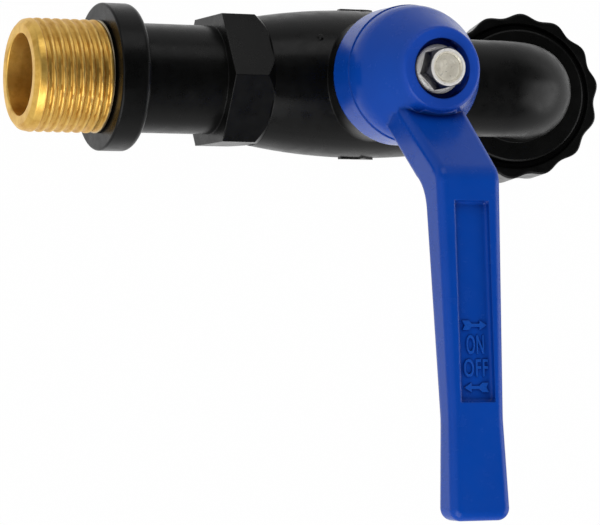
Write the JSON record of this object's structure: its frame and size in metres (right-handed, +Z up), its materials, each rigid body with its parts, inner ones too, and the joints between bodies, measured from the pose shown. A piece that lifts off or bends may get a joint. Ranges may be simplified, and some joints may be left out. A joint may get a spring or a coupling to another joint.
{
  "type": "garden ball tap",
  "caption": "Plastic quarter-turn ball tap with a brass inlet thread, a cranked lever and a bent spout whose union nut holds a hose tail.",
  "frame": {"origin": "centre of the inlet's end face", "axes": "+X from the inlet along the tap to the spout, +Z up the stem to the lever; shut, the lever points along -Y"},
  "size_m": [0.1316, 0.0974, 0.1136],
  "materials": {
    "brass": "turned, bright",
    "stem_brass": "turned",
    "black_plastic": "moulded, semi-matte",
    "blue_plastic": "moulded, satin",
    "white_plastic": "moulded",
    "black_rubber": "matte",
    "nickel_steel": "nickel plated",
    "plated_ball": "plated and polished"
  },
  "bodies": {
    "tap_body": {"valve_body": "black_plastic", "inlet_connector": "black_plastic", "inlet_insert": "brass", "inlet_seat": "white_plastic", "outlet_seat": "white_plastic", "insert_seal_ring": "black_rubber", "connector_seal_ring": "black_rubber", "inlet_seat_ring": "black_rubber", "outlet_seat_ring": "black_rubber", "gland_washer": "white_plastic", "hose_washer": "black_rubber"},
    "lever": {"lever_handle": "blue_plastic", "stem": "stem_brass", "handle_screw": "nickel_steel", "stem_ring_lower": "black_rubber", "stem_ring_upper": "black_rubber", "stem_slip_washer": "white_plastic"},
    "ball": {"ball": "plated_ball"},
    "tail": {"hose_tail": "black_plastic"},
    "nut": {"outlet_nut": "black_plastic"}
  },
  "joints": [
    {"name": "lever_turn", "type": "hinge", "parent": "tap_body", "child": "lever", "pos_m": [0.06725, 0, 0], "axis": [0, 0, 1], "range_deg": [0, 90]},
    {"name": "ball_turn", "type": "hinge", "parent": "tap_body", "child": "ball", "pos_m": [0.06725, 0, 0], "axis": [0, 0, 1], "range_deg": [0, 90]},
    {"name": "tail_slide", "type": "slide", "parent": "tap_body", "child": "tail", "axis": [0.3165, 0, -0.9486], "range_m": [0, 0.011]},
    {"name": "nut_turn", "type": "hinge", "parent": "tail", "child": "nut", "pos_m": [0.11224, 0, -0.02273], "axis": [0.3165, 0, -0.9486], "range_deg": [0, 2160]}
  ],
  "couplings": [
    {"joint": "ball_turn", "follows": "lever_turn", "ratio": 1},
    {"joint": "tail_slide", "follows": "nut_turn", "m_per_rad": 0.00028871}
  ]
}
